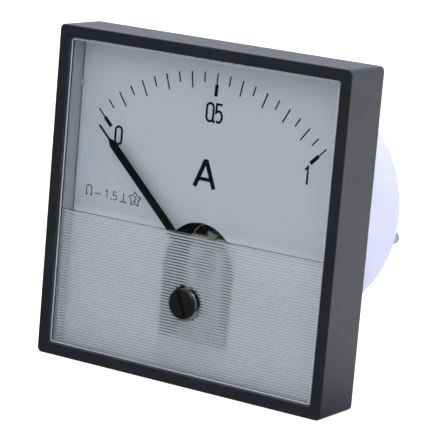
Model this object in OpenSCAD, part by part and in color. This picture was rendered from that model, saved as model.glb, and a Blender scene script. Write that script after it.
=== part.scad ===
// Moving-coil panel meter with a square front frame, a part-ribbed window and a round barrel.
// Millimetres. +Z is up, +X is right as the dial is read, the front faces -Y.
// The origin is the centre of the front frame's rear edge, which seats on the panel (y = 0).

/* [Front frame] */
// Width and height of the square front frame
frame_w = 72; // [70:0.5:76]
// Depth of the frame in front of the panel
frame_depth = 13; // [12.5:0.25:15]
// Corner radius of the frame
frame_corner_r = 2; // [1:0.25:3]
// Rounding of the frame's front edge
frame_edge_r = 0.45; // [0.2:0.05:0.6]
// Width of the rim round the window
rim_w = 2.55; // [2.4:0.05:3]
// Thickness of the lip in front of the window
lip_t = 1.1; // [0.9:0.05:1.3]
// Bevel round the inside of the lip
lip_bevel = 0.35; // [0.1:0.05:0.5]
// Wall of the frame's skirt
skirt_t = 1.35; // [1.2:0.05:1.6]

/* [Window] */
// Thickness of the clear window
window_t = 1.6; // [1.4:0.05:1.8]
// Corner radius of the window opening
window_corner_r = 1; // [0.5:0.1:1.5]
// Distance of the dividing groove below the centre
divider_drop = 3.9; // [3:0.1:5]
// Width of the dividing groove
divider_w = 0.25; // [0.15:0.05:0.4]
// Pitch of the ribs on the back of the lower window
rib_pitch = 0.633; // [0.55:0.01:0.8]
// Height of a rib
rib_h = 0.12; // [0.08:0.01:0.16]
// Plain margin between the ribs and the window opening
rib_margin = 1.2; // [0.8:0.1:2]
// Length of the bearing boss behind the window
boss_h = 1.1; // [0.9:0.05:1.3]

/* [Zero screw] */
// Distance of the zero screw below the pivot
screw_drop = 8.47; // [8:0.05:9]
// Radius of the screw's head
screw_head_r = 3.25; // [3:0.05:3.5]
// Height of the head above the window
screw_proud = 0.6; // [0.4:0.05:0.8]
// Depth of the head's seat in the window
screw_seat = 0.9; // [0.7:0.05:1]
// Radius of the screw's neck
screw_neck_r = 2.45; // [2.2:0.05:2.6]
// Radius of the snap flange behind the boss
snap_r = 2.95; // [2.8:0.05:3.1]
// Thickness of the snap flange
snap_t = 0.6; // [0.4:0.05:0.7]
// Width of the screwdriver slot
slot_w = 1.1; // [0.8:0.05:1.3]
// Depth of the screwdriver slot
slot_depth = 0.8; // [0.5:0.05:1]
// Angle at which the slot stands, clockwise from upright
slot_angle = -23; // [-40:1:40]
// Offset of the peg from the screw's axis
peg_offset = 1; // [0.8:0.05:1.1]
// Radius of the peg
peg_r = 0.6; // [0.5:0.05:0.7]

/* [Case] */
// Wall of the square tray inside the frame
tray_wall = 1.1; // [1:0.05:1.3]
// Rise of the tray's floor in front of the panel
floor_rise = 0.3; // [0.2:0.05:0.5]
// Width of the square spigot behind the frame
spigot_w = 67.2; // [66.6:0.1:68]
// Depth of the spigot behind the panel plane
spigot_depth = 1.5; // [1.2:0.1:2.5]
// Radius of the barrel
barrel_r = 27; // [26.8:0.1:28.5]
// Depth of the barrel behind the panel plane
barrel_depth = 30; // [29:0.5:34]
// Wall of the barrel
barrel_wall = 1.8; // [1.4:0.1:2]
// Floor of the barrel
barrel_floor = 1.8; // [1.4:0.1:2.2]
// Rounding of the barrel's rear edge
barrel_edge_r = 0.8; // [0.4:0.1:1.2]
// Spacing of the fixing bushes, centre to centre
fixing_spacing = 60; // [59:0.2:60.4]
// Outer radius of a fixing bush
bush_r = 2.2; // [2:0.05:2.4]
// Threaded bore radius of a fixing bush
bush_bore_r = 1.25; // [1.1:0.05:1.4]
// Length of a fixing bush
bush_len = 6.6; // [5.5:0.1:6.8]
// Radius of the corner posts that carry the dial and hold the bushes
corner_post_r = 3.4; // [3.2:0.05:3.6]
// Height of the tabs that hold the dial down, from the centre
tab_rise = 23.4; // [20:0.2:25]

/* [Dial] */
// Depth of the dial's face behind the frame's front
dial_depth = 6.45; // [6.3:0.05:6.6]
// Thickness of the dial plate
dial_t = 0.5; // [0.4:0.05:0.6]
// Gap between the dial plate and the tray's wall
dial_gap = 0.25; // [0.15:0.05:0.4]
// Distance of the pivot below the centre
pivot_drop = 10.1; // [9.5:0.05:10.6]
// Radius of the movement opening in the dial
opening_r = 8.9; // [8.7:0.05:9]
// Distance of the opening's centre below the pivot
opening_offset = 0.9; // [0.7:0.05:1.1]
// Radius of the scale at the marks' outer ends
scale_r = 40.15; // [38:0.25:40.5]
// Angle of the scale's ends either side of upright
scale_half_angle = 45; // [42:0.5:46]
// Length of a minor mark
minor_len = 2.2; // [1.5:0.1:3]
// Length of a tenth mark
tenth_len = 3.5; // [2.5:0.1:4.5]
// Length of a major mark
major_len = 4.9; // [4.6:0.1:6]
// Length of the thin outer part of a major mark
major_thin_len = 2.4; // [1.5:0.1:3]
// Width of a thin mark
mark_w = 0.3; // [0.2:0.02:0.4]
// Width of the thick part of a major mark
major_w = 0.8; // [0.5:0.05:1]
// Thickness of the printed ink
ink_t = 0.05; // [0.03:0.01:0.08]

/* [Pointer] */
// Reach of the pointer from the pivot to its tip
pointer_len = 36.7; // [35:0.1:37.5]
// Width of the pointer's bar
bar_w = 1.75; // [1.4:0.05:1.9]
// Length of the fine needle at the tip
needle_len = 3.9; // [3:0.1:5]
// Width of the needle
needle_w = 0.35; // [0.25:0.05:0.5]
// Length of the taper between bar and needle
taper_len = 1.3; // [0.8:0.1:2]
// Thickness of the pointer
pointer_t = 0.25; // [0.2:0.01:0.35]
// Height of the pointer in front of the dial
pointer_gap = 1.8; // [1.4:0.05:2]
// Angle at which the pointer rests, clockwise from upright
rest_angle = -46.6; // [-47:0.1:-45]
// Travel of the pointer below its rest, to the lower stop
under_travel = 1.4; // [1:0.1:2]
// Travel of the pointer above its rest, to the upper stop
over_travel = 94; // [92:0.5:95]
// Radius of the pointer's hub
hub_r = 1.6; // [1.4:0.05:1.8]
// Reach of the balance arms
balance_reach = 6.2; // [5.6:0.1:6.4]
// Outer radius of a balance weight
weight_r = 0.75; // [0.65:0.05:0.8]
// Length of a balance weight
weight_len = 1.8; // [1.4:0.1:2.2]
// Width of the square tail weight
tail_weight_w = 3.6; // [3.2:0.05:3.7]
// Thickness of the tail weight
tail_weight_t = 1.31; // [1.1:0.01:1.4]

/* [Movement] */
// Radius of the core magnet
core_r = 7; // [6.8:0.05:7.05]
// Air gap between core magnet and yoke ring
air_gap = 2; // [1.95:0.05:2.2]
// Wall of the yoke ring
ring_wall = 2.6; // [2.4:0.1:3]
// Length of the yoke ring
ring_len = 12; // [11:0.25:13]
// Height of the seat that carries the yoke ring
seat_h = 2.3; // [2.25:0.05:2.8]
// Thickness of the movement carrier
carrier_t = 2; // [1.8:0.05:2.1]
// Thickness of a bridge
bridge_t = 1.2; // [1:0.05:1.3]
// Width of the front bridge
bridge_w = 11; // [10:0.25:11.4]
// Reach of the front bridge above the pivot
bridge_top = 4.6; // [4:0.1:4.8]
// Sheet thickness of the coil former
former_t = 0.45; // [0.3:0.05:0.5]
// Depth of the coil winding
winding_t = 0.9; // [0.7:0.05:0.95]
// Width of the coil winding
winding_w = 3.4; // [3:0.1:3.8]
// Radius of a pivot
pivot_r = 0.4; // [0.35:0.01:0.45]
// Radius of a jewel screw
jewel_screw_r = 1.2; // [1.1:0.02:1.3]
// Radius of a jewel
jewel_r = 0.8; // [0.7:0.02:0.9]
// Thickness of a locknut
locknut_t = 0.8; // [0.6:0.05:1]
// Radius of a hairspring collet
collet_r = 1.2; // [1.1:0.02:1.3]
// Height of a hairspring strip
spring_h = 0.5; // [0.4:0.02:0.6]
// Thickness of a hairspring strip
spring_t = 0.12; // [0.1:0.01:0.14]
// Thickness of the zero lever
lever_t = 0.5; // [0.4:0.05:0.6]
// Radius of the movement screws
movement_screw_r = 0.8; // [0.7:0.02:0.85]
// Radius of the bridge screws
bridge_screw_r = 1; // [0.9:0.02:1.1]

/* [Terminals] */
// Radius of a terminal stud's free thread
stud_r = 1.5; // [1.4:0.02:1.6]
// Radius of a stud's shank, which passes through the case and its nut
shank_r = 1.75; // [1.72:0.01:1.8]
// Spacing of the terminal studs
stud_spacing = 41.4; // [40.6:0.1:41.6]
// Distance of the studs below the centre
stud_drop = 6.8; // [6:0.1:7.2]
// Reach of a stud behind the barrel
stud_reach = 10; // [8:0.5:14]
// Width across the flats of a terminal nut
nut_af = 5.5; // [5.2:0.05:5.6]
// Thickness of a terminal nut
nut_t = 2.4; // [2:0.1:2.8]
// Outer radius of a terminal washer
washer_r = 3.5; // [3.2:0.05:3.6]
// Thickness of a terminal washer
washer_t = 0.5; // [0.4:0.05:0.7]
// Thickness of the shunt strip
shunt_t = 0.4; // [0.3:0.05:0.6]
// Width of the shunt strip
shunt_w = 4.2; // [3.6:0.1:5]
// Thickness of a solder tag
tag_t = 0.4; // [0.3:0.05:0.5]
// Radius of a lead wire
wire_r = 0.4; // [0.3:0.02:0.45]

/* [Hidden] */
$fn = 64;

// clearances
slip = 0.1;
running = 0.05;
air = 0.15;
cut = 1;

// planes along Y, from the front to the rear
front_y = -frame_depth;
window_front = front_y + lip_t;
window_back = window_front + window_t;
boss_back = window_back + boss_h;
snap_back = boss_back + snap_t;
dial_front = front_y + dial_depth;
dial_back = dial_front + dial_t;
pointer_back = dial_front - pointer_gap;
pointer_front = pointer_back - pointer_t;
floor_front = -floor_rise;
carrier_front = floor_front - carrier_t;
bridge_front = carrier_front - bridge_t;
lever_washer_t = 0.2;
lever_back = bridge_front - lever_washer_t;
lever_front = lever_back - lever_t;
locknut_front = lever_front - locknut_t;
jewel_tail = 0.5;
ring_front = floor_front + seat_h;
ring_back = ring_front + ring_len;
core_step = 0.4;
core_front = ring_front + core_step;
core_back = ring_back - core_step;
core_clear = 0.5;
former_front = core_front - core_clear - former_t;
former_back = core_back + core_clear + former_t;
coil_front = former_front - winding_t;
coil_back = former_back + winding_t;
pad_t = 0.3;
arm_t = 0.4;
arm_gap = 0.75;
arm_back = coil_front - arm_gap;
arm_front = arm_back - arm_t;
spring_gap = 0.8;
front_spring_back = arm_front - spring_gap;
front_spring_front = front_spring_back - spring_h;
front_jewel_face = front_spring_front - 0.25;
rear_spring_front = coil_back + arm_gap;
rear_spring_back = rear_spring_front + spring_h;
rear_jewel_face = rear_spring_back + 0.65;
rear_bridge_front = rear_jewel_face + air;
rear_bridge_back = rear_bridge_front + bridge_t;
barrel_inside = barrel_depth - barrel_floor;
stud_boss_h = 1.4;
stud_seat = barrel_inside - stud_boss_h;
tag_back = stud_seat - shunt_t;
head_back = tag_back - tag_t;
stud_head_t = 1.8;
nut_front = barrel_depth + washer_t;
nut_back = nut_front + nut_t;

// sizes across the meter
opening_half = frame_w / 2 - rim_w;
cavity_half = frame_w / 2 - skirt_t;
tray_half = cavity_half - slip;
tray_inside = tray_half - tray_wall;
dial_half = tray_inside - dial_gap;
dial_corner_r = 0.8;
barrel_inside_r = barrel_r - barrel_wall;
pivot_z = -pivot_drop;
screw_z = pivot_z - screw_drop;
opening_z = pivot_z - opening_offset;
ring_inside_r = core_r + air_gap;
ring_outside_r = ring_inside_r + ring_wall;
ring_middle_r = ring_inside_r + ring_wall / 2;
riser_outside_r = opening_r - opening_offset - 0.4;
riser_inside_r = riser_outside_r - arm_t;
former_inside_half = core_r + 0.3;
former_half = former_inside_half + former_t;
winding_half = former_half + winding_t;
stud_x = stud_spacing / 2;
fixing_half = fixing_spacing / 2;
nut_corner_r = nut_af / sqrt(3);
major_marks = [0, 0.5, 1];

// ---- helpers: shapes are drawn as seen from the front, X across and Z up ----

// a flat shape given thickness from y0 back to y1
module slab(y0, y1) {
    translate([0, y1, 0]) rotate([90, 0, 0]) linear_extrude(y1 - y0) children();
}

// a rod or cone along Y
module rod(y0, y1, r0, r1 = undef) {
    translate([0, y0, 0]) rotate([-90, 0, 0]) cylinder(h = y1 - y0, r1 = r0, r2 = is_undef(r1) ? r0 : r1);
}

// a hexagon prism along Y, with its flats above and below
module hex(y0, y1, across_flats) {
    translate([0, y0, 0]) rotate([-90, 0, 0]) cylinder(h = y1 - y0, r = across_flats / sqrt(3), $fn = 6);
}

module round_rect(w, h, r) {
    square([w - 2 * r, h], center = true);
    square([w, h - 2 * r], center = true);
    for (sx = [-1, 1], sz = [-1, 1]) translate([sx * (w / 2 - r), sz * (h / 2 - r)]) circle(r);
}

// a bar with round ends between two points
module link(a, b, w) {
    d = b - a;
    translate(a) circle(w / 2);
    translate(b) circle(w / 2);
    translate(a) rotate(atan2(d[1], d[0])) translate([0, -w / 2]) square([norm(d), w]);
}

module at_pivot() {
    translate([0, 0, pivot_z]) children();
}

// the moving element is drawn with its pointer upright and turned to its rest
module at_rest() {
    at_pivot() rotate([0, rest_angle, 0]) children();
}

module both_sides(x) {
    for (s = [-1, 1]) translate([s * x, 0, 0]) children();
}

module four_corners(x, z) {
    for (sx = [-1, 1], sz = [-1, 1]) translate([sx * x, 0, sz * z]) children();
}

// ---- front ----

module frame_post() {
    rotate([90, 0, 0]) rotate_extrude($fn = 32) {
        square([frame_corner_r, frame_depth - frame_edge_r]);
        square([frame_corner_r - frame_edge_r, frame_depth]);
        translate([frame_corner_r - frame_edge_r, frame_depth - frame_edge_r]) circle(frame_edge_r);
    }
}

module bezel_frame() {
    corner = frame_w / 2 - frame_corner_r;
    outer_bevel = 2 * (opening_half + lip_bevel);
    color("#1c1c20") difference() {
        hull() four_corners(corner, corner) frame_post();
        slab(window_front, cut) square(2 * cavity_half, center = true);
        slab(front_y - cut, window_front + cut) round_rect(2 * opening_half, 2 * opening_half, window_corner_r);
        hull() {
            slab(front_y - lip_bevel, front_y) square(outer_bevel, center = true);
            slab(front_y, front_y + lip_bevel) square(2 * opening_half, center = true);
        }
    }
}

// one row of half-round ribs, as a toothed outline that runs down the window
rib_top = -divider_drop - divider_w;
rib_bottom = -opening_half + rib_margin / 2;
rib_count = floor((rib_top - rib_bottom) / rib_pitch);
rib_steps = 6;
function rib_point(i, j) = [rib_h * sin(180 * j / rib_steps), rib_top - (i + j / rib_steps) * rib_pitch];
rib_outline = concat(
    [[-cut / 10, rib_top]],
    [for (i = [0 : rib_count - 1], j = [0 : rib_steps - 1]) rib_point(i, j)],
    [rib_point(rib_count, 0), [-cut / 10, rib_top - rib_count * rib_pitch]]);

module ribs() {
    translate([-opening_half + rib_margin, window_back, 0]) rotate([90, 0, 90])
        linear_extrude(2 * (opening_half - rib_margin)) polygon(rib_outline);
}

module window() {
    boss_r = screw_head_r + 0.5;
    color("#cfd6e2", 0.35) difference() {
        union() {
            slab(window_front, window_back) round_rect(2 * tray_half, 2 * tray_half, window_corner_r);
            ribs();
            translate([0, 0, screw_z]) rod(window_back, boss_back, boss_r);
        }
        translate([0, window_front, -divider_drop]) cube([2 * opening_half, divider_w, divider_w], center = true);
        translate([0, 0, screw_z]) {
            rod(window_front - cut, window_front + screw_seat, screw_head_r + running);
            rod(window_front, boss_back + cut, screw_neck_r + running);
        }
    }
}

module zero_screw() {
    head_front = window_front - screw_proud;
    head_edge = 0.2;
    peg_end = lever_back + lever_washer_t / 2;
    // a heel opposite the peg balances it
    heel_r = 1;
    heel_offset = snap_r - heel_r - 0.25;
    heel_len = (peg_end - snap_back) * peg_offset * pow(peg_r / heel_r, 2) / heel_offset;
    color("#17171a") translate([0, 0, screw_z]) {
        difference() {
            union() {
                rod(head_front, head_front + head_edge, screw_head_r - head_edge, screw_head_r);
                rod(head_front + head_edge, window_front + screw_seat, screw_head_r);
            }
            rotate([0, slot_angle, 0]) translate([0, head_front, 0])
                cube([slot_w, 2 * slot_depth, 3 * screw_head_r], center = true);
        }
        rod(window_front + screw_seat, boss_back, screw_neck_r);
        rod(boss_back, snap_back, snap_r, snap_r - 0.2);
        translate([0, 0, -peg_offset]) rod(snap_back, peg_end, peg_r);
        translate([0, 0, heel_offset]) rod(snap_back, snap_back + heel_len, heel_r);
    }
}

// ---- case ----

module barrel_profile() {
    square([barrel_r, barrel_depth - barrel_edge_r]);
    square([barrel_r - barrel_edge_r, barrel_depth]);
    translate([barrel_r - barrel_edge_r, barrel_depth - barrel_edge_r]) circle(barrel_edge_r);
}

module carrier_screw_places() {
    both_sides(carrier_foot_x) translate([0, 0, carrier_foot_z]) children();
    both_sides(carrier_arm_x) at_pivot() children();
}

module rear_case() {
    tab_reach = 0.7;
    tab_t = 0.5;
    tab_h = 1.1;
    blind = 0.9;
    color("#e4e6f6") difference() {
        union() {
            difference() {
                slab(window_back, 0) square(2 * tray_half, center = true);
                slab(window_back - cut, floor_front) square(2 * tray_inside, center = true);
            }
            slab(floor_front, spigot_depth) square(spigot_w, center = true);
            rotate([-90, 0, 0]) rotate_extrude() barrel_profile();
            four_corners(fixing_half, fixing_half) rod(dial_back, spigot_depth, corner_post_r);
            four_corners(tray_inside, tab_rise) translate([0, dial_front - tab_t / 2, 0])
                cube([2 * tab_reach, tab_t, tab_h], center = true);
        }
        difference() {
            rod(floor_front - cut, barrel_inside, barrel_inside_r);
            both_sides(stud_x) translate([0, 0, -stud_drop]) rod(stud_seat, barrel_depth, nut_corner_r + 0.8);
        }
        four_corners(fixing_half, fixing_half) rod(spigot_depth - bush_len, spigot_depth + cut, bush_r);
        both_sides(stud_x) translate([0, 0, -stud_drop]) rod(stud_seat - cut, barrel_depth + cut, shank_r + running);
        carrier_screw_places() rod(floor_front - cut, blind, carrier_screw_r);
    }
}

module fixing_bushes() {
    color("#c9a54a") four_corners(fixing_half, fixing_half) difference() {
        rod(spigot_depth - bush_len, spigot_depth, bush_r);
        rod(spigot_depth - bush_len - cut, spigot_depth + cut, bush_bore_r);
    }
}

// ---- dial ----

module dial_plate() {
    color("#c9cede") slab(dial_front, dial_back) difference() {
        round_rect(2 * dial_half, 2 * dial_half, dial_corner_r);
        translate([0, opening_z]) circle(opening_r);
        translate([-opening_r, -dial_half - cut]) square([2 * opening_r, opening_z + dial_half + cut]);
    }
}

// the core's field weakens towards the end of the travel, so the last marks crowd together
end_crowding = 3;
crowding_power = 5;
function mark_angle(v) = -scale_half_angle + (2 * scale_half_angle + end_crowding) * v
    - end_crowding * pow(v, crowding_power);

module mark(r0, r1, w) {
    translate([-w / 2, 0, r0]) slab(dial_front - ink_t, dial_front) square([w, r1 - r0]);
}

module scale_marks() {
    color("#15161c") for (i = [0 : 20]) {
        at_pivot() rotate([0, mark_angle(i / 20), 0]) {
            if (i % 10 == 0) {
                mark(scale_r - major_len, scale_r - major_thin_len, major_w);
                mark(scale_r - major_thin_len, scale_r, mark_w);
            } else {
                mark(scale_r - (i % 2 == 0 ? tenth_len : minor_len), scale_r, mark_w);
            }
        }
    }
}

// ---- moving element ----

balance_arm_w = 0.8;
weight_bore_r = norm([balance_arm_w, arm_t]) / 2 + 0.01;
tail_reach = riser_outside_r - 0.2;

module pointer_blade() {
    bar_end = pointer_len - needle_len - taper_len;
    needle_start = pointer_len - needle_len;
    polygon([[-bar_w / 2, riser_inside_r], [-bar_w / 2, bar_end], [-needle_w / 2, needle_start],
        [-needle_w / 2, pointer_len], [needle_w / 2, pointer_len], [needle_w / 2, needle_start],
        [bar_w / 2, bar_end], [bar_w / 2, riser_inside_r]]);
}

module pointer() {
    color("#101014") at_rest() {
        slab(pointer_front, pointer_back) pointer_blade();
        slab(pointer_back, arm_front) translate([-bar_w / 2, riser_inside_r]) square([bar_w, arm_t]);
        slab(arm_front, arm_back) difference() {
            union() {
                circle(hub_r);
                translate([-bar_w / 2, 0]) square([bar_w, riser_outside_r]);
                square([2 * balance_reach, balance_arm_w], center = true);
                translate([-balance_arm_w / 2, -tail_reach]) square([balance_arm_w, tail_reach]);
            }
            circle(pivot_r);
        }
    }
}

module balance_weights() {
    mid = (arm_front + arm_back) / 2;
    start = balance_reach - weight_len - 0.3;
    color("#b8b8bc") at_rest() for (s = [0, 180]) rotate([0, s, 0]) translate([start, mid, 0])
        rotate([0, 90, 0]) difference() {
            cylinder(h = weight_len, r = weight_r);
            translate([0, 0, -cut]) cylinder(h = weight_len + 2 * cut, r = weight_bore_r);
        }
}

module tail_weight() {
    mid = (arm_front + arm_back) / 2;
    color("#b99a52") at_rest() difference() {
        translate([0, mid, -tail_reach + tail_weight_w / 2])
            cube([tail_weight_w, tail_weight_t, tail_weight_w], center = true);
        slab(arm_front, arm_back) translate([-balance_arm_w / 2, -tail_reach - cut])
            square([balance_arm_w, tail_reach + cut]);
    }
}

// a pivot stands on a pad on the coil and ends in a fine point inside its jewel
tip_len = 0.6;
tip_r = 0.04;
cup_r = 0.6;
cup_bottom_r = 0.1;
cup_depth = 0.5;
tip_play = 0.03;

module pivot_pin(base, face, turn) {
    point = face + cup_depth - tip_play;
    rotate([0, 0, turn]) {
        rod(base, base + pad_t, collet_r);
        rod(base + pad_t, point - tip_len, pivot_r);
        rod(point - tip_len, point, pivot_r, tip_r);
    }
}

module pivots() {
    color("#c8cacc") at_pivot() {
        pivot_pin(coil_back, rear_jewel_face, 0);
        pivot_pin(-coil_front, -front_jewel_face, 180);
    }
}

module collet(y0, y1) {
    difference() {
        rod(y0, y1, collet_r);
        rod(y0 - cut, y1 + cut, pivot_r);
    }
}

module spring_collets() {
    color("#c9a54a") at_pivot() {
        collet(front_spring_front - spring_gap / 8, arm_front);
        collet(coil_back + pad_t, rear_spring_back + spring_gap / 8);
    }
}

module coil_loop(outer, inner, y0, y1, t, w) {
    translate([0, (y0 + y1) / 2, 0]) difference() {
        cube([2 * outer, y1 - y0, w], center = true);
        cube([2 * inner, y1 - y0 - 2 * t, w + cut], center = true);
    }
}

module coil_former() {
    color("#b9bcc2") at_rest()
        coil_loop(former_half, former_inside_half, former_front, former_back, former_t, winding_w + 0.2);
}

module coil_winding() {
    color("#a8622c") at_rest()
        coil_loop(winding_half, former_half, coil_front, coil_back, winding_t, winding_w);
}

// ---- hairsprings ----

spring_turns = 3.5;
spring_coil_r = 5;
spring_inside_r = collet_r + running + spring_t / 2;
spring_segments = 20;
tail_start = -75;
tail_end = 16;
tail_bulge = 1.45;
tab_angle = 15;
tab_r = 5.3;
tab_t = 0.5;
tail_end_r = tab_r + tab_t + spring_t / 2 + 0.01;

function polar(a, r) = [r * sin(a), r * cos(a)];
function coil_angle(t) = tail_start - 360 * spring_turns * (1 - t);
function coil_radius(t) = spring_inside_r + (spring_coil_r - spring_inside_r) * t;
function tail_radius(t) = spring_coil_r + (tail_end_r - spring_coil_r) * t + tail_bulge * sin(180 * t);
coil_points = [for (i = [0 : spring_turns * spring_segments])
    let (t = i / (spring_turns * spring_segments)) [coil_angle(t), coil_radius(t)]];
tail_points = [for (i = [1 : 12]) [tail_start + (tail_end - tail_start) * i / 12, tail_radius(i / 12)]];

module strip(points) {
    last = len(points) - 1;
    polygon(concat(
        [for (p = points) polar(p[0], p[1] + spring_t / 2)],
        [for (i = [last : -1 : 0]) polar(points[i][0], points[i][1] - spring_t / 2)]));
}

module front_hairspring() {
    color("#c9a86a") at_pivot() slab(front_spring_front, front_spring_back)
        strip(concat(coil_points, tail_points));
}

module rear_hairspring() {
    color("#c9a86a") at_pivot() slab(rear_spring_front, rear_spring_back) strip(coil_points);
}

// ---- bearings ----

module jewel_screw(face, end) {
    difference() {
        rod(face, end, jewel_screw_r);
        rod(face - cut, face + jewel_len, jewel_r);
        translate([0, end, 0]) cube([3 * jewel_screw_r, jewel_tail, jewel_screw_r / 3], center = true);
    }
}
jewel_len = 1;

module front_jewel_screw() {
    color("#c9a54a") at_pivot() rotate([0, 0, 180])
        jewel_screw(-front_jewel_face, jewel_tail - locknut_front);
}

module rear_jewel_screw() {
    color("#c9a54a") at_pivot() jewel_screw(rear_jewel_face, rear_bridge_back + locknut_t + jewel_tail);
}

module jewel(face) {
    difference() {
        rod(face, face + jewel_len, jewel_r);
        rod(face, face + cup_depth, cup_r, cup_bottom_r);
    }
}

module jewels() {
    color("#b03048") at_pivot() {
        jewel(rear_jewel_face);
        rotate([0, 0, 180]) jewel(-front_jewel_face);
    }
}

module locknut(y0) {
    difference() {
        hex(y0, y0 + locknut_t, 4 * jewel_screw_r - 0.6);
        rod(y0 - cut, y0 + locknut_t + cut, jewel_screw_r);
    }
}

module locknuts() {
    color("#c9a54a") at_pivot() {
        locknut(locknut_front);
        locknut(rear_bridge_back);
    }
}

// ---- zero adjustment ----

fork_reach = screw_drop + peg_offset + peg_r + 0.6;
fork_side = 0.8;
lever_hub_r = 2.4;
lever_arm_w = 2;
lever_tab_w = 2.4;

module zero_lever() {
    fork_w = 2 * (peg_r + slip + fork_side);
    slot_start = screw_drop + peg_offset - peg_r - 0.7;
    color("#c4c6c9") at_pivot() {
        slab(lever_front, lever_back) difference() {
            union() {
                circle(lever_hub_r);
                translate([-fork_w / 2, -fork_reach]) square([fork_w, fork_reach]);
                rotate(-tab_angle) translate([-lever_arm_w / 2, 0]) square([lever_arm_w, tab_r + tab_t]);
            }
            circle(jewel_screw_r + running);
            translate([-peg_r - slip, -fork_reach - cut]) square([2 * (peg_r + slip), fork_reach + cut - slot_start]);
        }
        rotate([0, tab_angle, 0]) slab(lever_front, front_spring_back)
            translate([-lever_tab_w / 2, tab_r]) square([lever_tab_w, tab_t]);
    }
}

module lever_washer() {
    color("#b8bcc0") at_pivot() difference() {
        rod(lever_back, bridge_front, lever_hub_r);
        rod(lever_back - cut, bridge_front + cut, jewel_screw_r);
    }
}

// ---- frame of the movement ----

bridge_foot_z = -barrel_inside_r + 0.6;
bridge_screw_x = 3.4;
bridge_end_z = bridge_foot_z - 2.2;
bridge_corner_r = 2.5;
carrier_end_z = bridge_end_z - 0.6;
carrier_foot_x = 13.2;
carrier_foot_z = -barrel_inside_r + 0.2;
carrier_arm_x = barrel_inside_r - 0.2;
carrier_screw_r = 1.2;
screw_head_ratio = 1.6;

module front_bridge() {
    top = pivot_z + bridge_top;
    mid = (top + bridge_end_z) / 2;
    color("#cfc9bd") difference() {
        slab(bridge_front, carrier_front) translate([0, mid])
            round_rect(bridge_w, top - bridge_end_z, bridge_corner_r);
        at_pivot() rod(bridge_front - cut, carrier_front + cut, jewel_screw_r);
        both_sides(bridge_screw_x) translate([0, 0, bridge_foot_z])
            rod(bridge_front - cut, carrier_front + cut, bridge_screw_r + running);
    }
}

module screw(seat, end, r, head_h) {
    difference() {
        rod(seat - head_h, seat, screw_head_ratio * r);
        translate([0, seat - head_h, 0]) cube([4 * r, head_h, r / 2], center = true);
    }
    rod(seat, end, r);
}

bridge_screw_end = floor_front - 0.3;

module bridge_screws() {
    color("#c8cacc") both_sides(bridge_screw_x) translate([0, 0, bridge_foot_z])
        screw(bridge_front, bridge_screw_end, bridge_screw_r, bridge_screw_r);
}

rear_bridge_half = ring_outside_r + 1;
rear_bridge_w = 6.4;
rear_tab_r = spring_coil_r + spring_t / 2;

module rear_bridge() {
    color("#b9bcc2") at_pivot() {
        difference() {
            slab(rear_bridge_front, rear_bridge_back) round_rect(2 * rear_bridge_half, rear_bridge_w, 1);
            rod(rear_bridge_front - cut, rear_bridge_back + cut, jewel_screw_r);
            both_sides(ring_middle_r) rod(rear_bridge_front - cut, rear_bridge_back + cut, movement_screw_r + running);
        }
        rotate([0, tail_start, 0]) slab(rear_spring_front, rear_bridge_front)
            translate([-lever_arm_w / 2, rear_tab_r]) square([lever_arm_w, tab_t]);
    }
}

stop_t = 1.6;
stop_inside_r = riser_inside_r - 0.4;

// a stop lug stands beside the pointer's riser at one end of its travel
module stop_lug(angle, side) {
    rotate([0, angle, 0]) translate([side * (bar_w / 2 + running + stop_t / 2), 0, 0])
        slab(carrier_front, floor_front) translate([-stop_t / 2, stop_inside_r])
            square([stop_t, ring_inside_r - stop_inside_r + ring_wall / 4]);
}

module movement_carrier() {
    foot_w = 2 * carrier_foot_x + 6;
    foot_h = carrier_foot_z - carrier_end_z + 3.5;
    arm_half = carrier_arm_x + 3;
    arm_h = 6;
    plate_r = ring_outside_r + 0.8;
    color("#141416") {
        difference() {
            union() {
                slab(carrier_front, floor_front) {
                    translate([0, pivot_z]) circle(plate_r);
                    translate([-plate_r, carrier_end_z + foot_h / 2]) square([2 * plate_r, pivot_z - carrier_end_z - foot_h / 2]);
                    translate([0, carrier_end_z + foot_h / 2]) round_rect(foot_w, foot_h, 1.5);
                    translate([0, pivot_z]) round_rect(2 * arm_half, arm_h, 1.5);
                }
                at_pivot() rod(floor_front, ring_front, ring_outside_r);
            }
            at_pivot() {
                rod(carrier_front - cut, ring_front + cut, ring_inside_r);
                both_sides(ring_middle_r) rod(carrier_front / 2, ring_front + cut, movement_screw_r);
            }
            both_sides(bridge_screw_x) translate([0, 0, bridge_foot_z])
                rod(carrier_front - cut, bridge_screw_end, bridge_screw_r);
            carrier_screw_places() rod(carrier_front - cut, floor_front + cut, carrier_screw_r + running);
        }
        at_pivot() {
            stop_lug(rest_angle - under_travel, -1);
            stop_lug(rest_angle + over_travel, 1);
        }
    }
}

module carrier_screws() {
    end = 0.8;
    color("#c8cacc") carrier_screw_places() screw(carrier_front, end, carrier_screw_r, carrier_screw_r);
}

module yoke_ring() {
    color("#3c3d40") at_pivot() difference() {
        rod(ring_front, ring_back, ring_outside_r);
        rod(ring_front - cut, ring_back + cut, ring_inside_r);
        both_sides(ring_middle_r) rod(ring_front - cut, ring_back + cut, movement_screw_r + running);
    }
}

module core_magnet() {
    color("#4a4b50") at_pivot() rod(core_front, core_back, core_r);
}

module core_supports() {
    support_w = 3;
    color("#c9a54a") at_pivot() for (s = [0, 180]) rotate([0, s, 0]) slab(core_front, core_back) intersection() {
        difference() {
            circle(ring_inside_r);
            circle(core_r);
        }
        translate([-support_w / 2, 0]) square([support_w, ring_inside_r]);
    }
}

module yoke_spacers() {
    color("#c9a54a") at_pivot() both_sides(ring_middle_r) difference() {
        rod(ring_back, rear_bridge_front, ring_wall / 2 + 0.3);
        rod(ring_back - cut, rear_bridge_front + cut, movement_screw_r + running);
    }
}

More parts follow.
